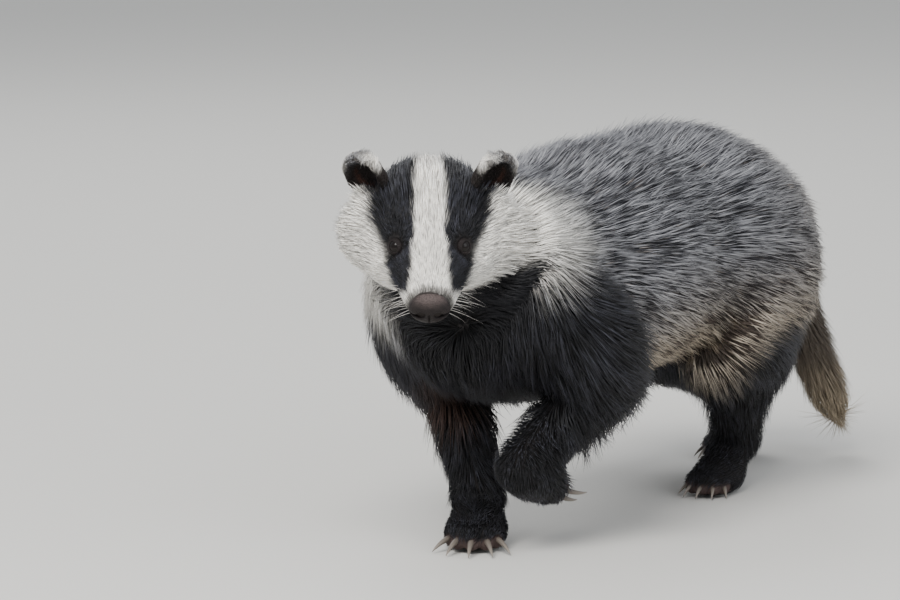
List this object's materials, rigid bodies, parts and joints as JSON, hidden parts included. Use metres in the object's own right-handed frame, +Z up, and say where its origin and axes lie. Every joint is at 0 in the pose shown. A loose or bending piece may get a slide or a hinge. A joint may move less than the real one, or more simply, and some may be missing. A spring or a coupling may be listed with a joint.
{
  "type": "european badger",
  "caption": "Still, life-size European badger in mid stride, head turned to its left: striped face, grizzled back, black legs with digging claws and a short tail.",
  "frame": {"origin": "on the floor, under the middle of the bounding box", "axes": "+Z up, the animal faces -Y along its trunk, its left side is towards +X, and its head is turned about 34 degrees to its left"},
  "size_m": [0.232, 0.6543, 0.3107],
  "materials": {
    "face_fur": "short dense white fur with black stripes through the eyes",
    "grizzled_fur": "long coarse guard hairs, pale with a dark band",
    "dark_fur": "dense black fur",
    "tail_fur": "long brownish grey hair with a pale tip",
    "nose_skin": "moist pebbled skin",
    "eye": "wet dark cornea",
    "claw_horn": "worn horn"
  },
  "bodies": {
    "root": {"head": "face_fur", "lower_jaw": "face_fur", "nose": "nose_skin", "ear_left": "dark_fur", "eye_left": "eye", "ear_right": "dark_fur", "eye_right": "eye", "neck": "face_fur", "torso": "grizzled_fur", "tail": "tail_fur", "leg_front_left": "dark_fur", "paw_front_left": "dark_fur", "claw_front_left_1": "claw_horn", "claw_front_left_2": "claw_horn", "claw_front_left_3": "claw_horn", "claw_front_left_4": "claw_horn", "claw_front_left_5": "claw_horn", "leg_front_right": "dark_fur", "paw_front_right": "dark_fur", "claw_front_right_1": "claw_horn", "claw_front_right_2": "claw_horn", "claw_front_right_3": "claw_horn", "claw_front_right_4": "claw_horn", "claw_front_right_5": "claw_horn", "leg_hind_left": "dark_fur", "paw_hind_left": "dark_fur", "claw_hind_left_1": "claw_horn", "claw_hind_left_2": "claw_horn", "claw_hind_left_3": "claw_horn", "claw_hind_left_4": "claw_horn", "claw_hind_left_5": "claw_horn", "leg_hind_right": "dark_fur", "paw_hind_right": "dark_fur", "claw_hind_right_1": "claw_horn", "claw_hind_right_2": "claw_horn", "claw_hind_right_3": "claw_horn", "claw_hind_right_4": "claw_horn", "claw_hind_right_5": "claw_horn"}
  },
  "joints": []
}
